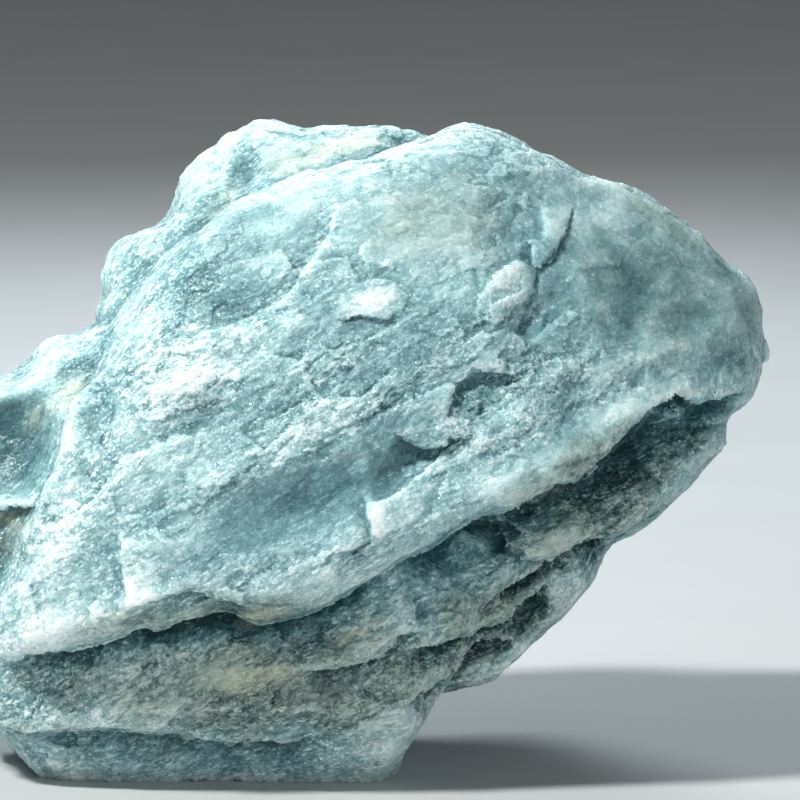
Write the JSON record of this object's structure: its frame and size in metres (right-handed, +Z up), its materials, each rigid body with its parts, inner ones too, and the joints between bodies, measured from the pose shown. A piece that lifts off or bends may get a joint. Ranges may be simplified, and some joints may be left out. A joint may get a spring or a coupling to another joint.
{
  "type": "rough aquamarine",
  "caption": "Rough aquamarine lump of massive blue-green beryl, broken along its grain into stepped plates, resting on a small flat spot.",
  "frame": {"origin": "middle of the lump's footprint, at the height of the flat spot it rests on", "axes": "+X along the lump's length, towards the pointed end; -Y out of the broad broken front; +Z up"},
  "size_m": [0.0976, 0.0562, 0.0704],
  "materials": {
    "beryl": "satin"
  },
  "bodies": {
    "root": {"aquamarine": "beryl"}
  },
  "joints": []
}
